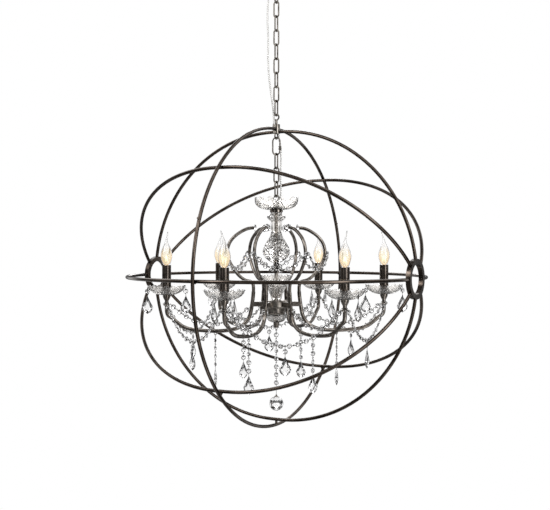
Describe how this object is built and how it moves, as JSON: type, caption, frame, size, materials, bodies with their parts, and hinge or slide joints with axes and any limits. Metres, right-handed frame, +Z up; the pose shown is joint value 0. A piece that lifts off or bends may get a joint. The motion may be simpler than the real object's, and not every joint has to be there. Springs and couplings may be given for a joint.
{
  "type": "orb chandelier",
  "caption": "Hanging orb of round metal hoops on a chain, with a crystal chandelier with candle lamps, swags and drops inside it.",
  "frame": {"origin": "centre of the mounting bar's upper face, on the ceiling", "axes": "+Z up into the ceiling, +X along the orb's hub axis"},
  "size_m": [0.8084, 0.809, 1.2405],
  "materials": {
    "rubbed_steel": "dark rubbed steel, satin",
    "aged_nickel": "aged, satin",
    "pewter": "polished dark pewter",
    "sleeve_metal": "dark bronze pewter, satin",
    "zinc_steel": "zinc plated",
    "black_plastic": "moulded",
    "clear_flex": "clear sheath",
    "crystal": "cut, clear",
    "bulb_glass": "clear, lit"
  },
  "bodies": {
    "ceiling_set": {"mounting_bar": "zinc_steel", "canopy": "rubbed_steel", "canopy_nipple": "zinc_steel", "nipple_nut": "zinc_steel", "terminal_block": "black_plastic", "canopy_loop": "rubbed_steel"},
    "upper_chain": {"upper_chain_links": "aged_nickel", "flex_upper": "clear_flex"},
    "orb": {"coupling_body": "aged_nickel", "coupling_loops": "aged_nickel", "coupling_screw": "aged_nickel", "cross_hoop": "rubbed_steel", "equator_hoop": "rubbed_steel", "side_hoop": "rubbed_steel", "tilted_hoops": "rubbed_steel", "hub_rings": "rubbed_steel", "crossing_ties": "rubbed_steel", "cross_hoop_screws": "rubbed_steel"},
    "inner_chain": {"quick_link": "aged_nickel", "inner_chain_links": "aged_nickel", "flex_lower": "clear_flex"},
    "quick_nut": {"quick_link_nut": "aged_nickel"},
    "chandelier": {"stem_loop": "aged_nickel", "stem_tube": "pewter", "top_dish": "crystal", "column_washers": "pewter", "glass_neck": "crystal", "baluster": "crystal", "glass_foot": "crystal", "cut_bowl": "crystal", "hub_plate": "pewter", "hub_cup": "pewter", "bottom_dish": "crystal", "finial": "pewter", "scrolls": "pewter", "arms": "pewter", "scroll_rosettes": "crystal", "candle_cups": "pewter", "bobeches": "crystal", "candle_sleeves": "sleeve_metal", "lampholders": "black_plastic", "arm_collars": "crystal", "upper_swags": "crystal", "lower_swags": "crystal", "arm_garlands": "crystal", "short_drops": "crystal"},
    "ball_strand_body": {"ball_strand": "crystal", "crystal_ball": "crystal"},
    "bulb_body_1": {"bulb_1": "bulb_glass"},
    "drop_body_1": {"long_drop_1": "crystal"},
    "bulb_body_2": {"bulb_2": "bulb_glass"},
    "drop_body_2": {"long_drop_2": "crystal"},
    "bulb_body_3": {"bulb_3": "bulb_glass"},
    "drop_body_3": {"long_drop_3": "crystal"},
    "bulb_body_4": {"bulb_4": "bulb_glass"},
    "drop_body_4": {"long_drop_4": "crystal"},
    "bulb_body_5": {"bulb_5": "bulb_glass"},
    "drop_body_5": {"long_drop_5": "crystal"},
    "bulb_body_6": {"bulb_6": "bulb_glass"},
    "drop_body_6": {"long_drop_6": "crystal"}
  },
  "joints": [
    {"name": "chain_swing", "type": "hinge", "parent": "ceiling_set", "child": "upper_chain", "pos_m": [0, 0, -0.0635], "axis": [1, 0, 0], "range_deg": [-12, 12], "deforming": ["flex_upper"]},
    {"name": "orb_swing", "type": "hinge", "parent": "upper_chain", "child": "orb", "pos_m": [0, 0, -0.40105], "axis": [0, 1, 0], "range_deg": [-8, 8], "deforming": ["flex_upper"]},
    {"name": "inner_chain_swing", "type": "hinge", "parent": "orb", "child": "inner_chain", "pos_m": [0, 0, -0.45895], "axis": [1, 0, 0], "range_deg": [-3, 3], "deforming": ["flex_lower"]},
    {"name": "quick_nut_travel", "type": "slide", "parent": "inner_chain", "child": "quick_nut", "axis": [0, 0, 1], "range_m": [0, 0.009]},
    {"name": "chandelier_swing", "type": "hinge", "parent": "inner_chain", "child": "chandelier", "pos_m": [0, 0, -0.61805], "axis": [0, 1, 0], "range_deg": [-3, 3], "deforming": ["flex_lower"]},
    {"name": "ball_strand_swing", "type": "hinge", "parent": "chandelier", "child": "ball_strand_body", "pos_m": [0, 0, -0.9772], "axis": [1, 0, 0], "range_deg": [-15, 15]},
    {"name": "long_drop_1_swing", "type": "hinge", "parent": "chandelier", "child": "drop_body_1", "pos_m": [0.13679, 0.09227, -0.9904], "axis": [0.829, 0.5592, 0], "range_deg": [-15, 15]},
    {"name": "long_drop_2_swing", "type": "hinge", "parent": "chandelier", "child": "drop_body_2", "pos_m": [-0.01151, 0.1646, -0.9904], "axis": [-0.0698, 0.9976, 0], "range_deg": [-15, 15]},
    {"name": "long_drop_3_swing", "type": "hinge", "parent": "chandelier", "child": "drop_body_3", "pos_m": [-0.1483, 0.07233, -0.9904], "axis": [-0.8988, 0.4384, 0], "range_deg": [-15, 15]},
    {"name": "long_drop_4_swing", "type": "hinge", "parent": "chandelier", "child": "drop_body_4", "pos_m": [-0.13679, -0.09227, -0.9904], "axis": [-0.829, -0.5592, 0], "range_deg": [-15, 15]},
    {"name": "long_drop_5_swing", "type": "hinge", "parent": "chandelier", "child": "drop_body_5", "pos_m": [0.01151, -0.1646, -0.9904], "axis": [0.0698, -0.9976, 0], "range_deg": [-15, 15]},
    {"name": "long_drop_6_swing", "type": "hinge", "parent": "chandelier", "child": "drop_body_6", "pos_m": [0.1483, -0.07233, -0.9904], "axis": [0.8988, -0.4384, 0], "range_deg": [-15, 15]},
    {"name": "bulb_1_turn", "type": "hinge", "parent": "chandelier", "child": "bulb_body_1", "pos_m": [0.24457, 0.16496, -0.802], "axis": [0, 0, 1], "range_deg": [0, 360]},
    {"name": "bulb_2_turn", "type": "hinge", "parent": "chandelier", "child": "bulb_body_2", "pos_m": [-0.02058, 0.29428, -0.802], "axis": [0, 0, 1], "range_deg": [0, 360]},
    {"name": "bulb_3_turn", "type": "hinge", "parent": "chandelier", "child": "bulb_body_3", "pos_m": [-0.26514, 0.12932, -0.802], "axis": [0, 0, 1], "range_deg": [0, 360]},
    {"name": "bulb_4_turn", "type": "hinge", "parent": "chandelier", "child": "bulb_body_4", "pos_m": [-0.24457, -0.16496, -0.802], "axis": [0, 0, 1], "range_deg": [0, 360]},
    {"name": "bulb_5_turn", "type": "hinge", "parent": "chandelier", "child": "bulb_body_5", "pos_m": [0.02058, -0.29428, -0.802], "axis": [0, 0, 1], "range_deg": [0, 360]},
    {"name": "bulb_6_turn", "type": "hinge", "parent": "chandelier", "child": "bulb_body_6", "pos_m": [0.26514, -0.12932, -0.802], "axis": [0, 0, 1], "range_deg": [0, 360]}
  ]
}
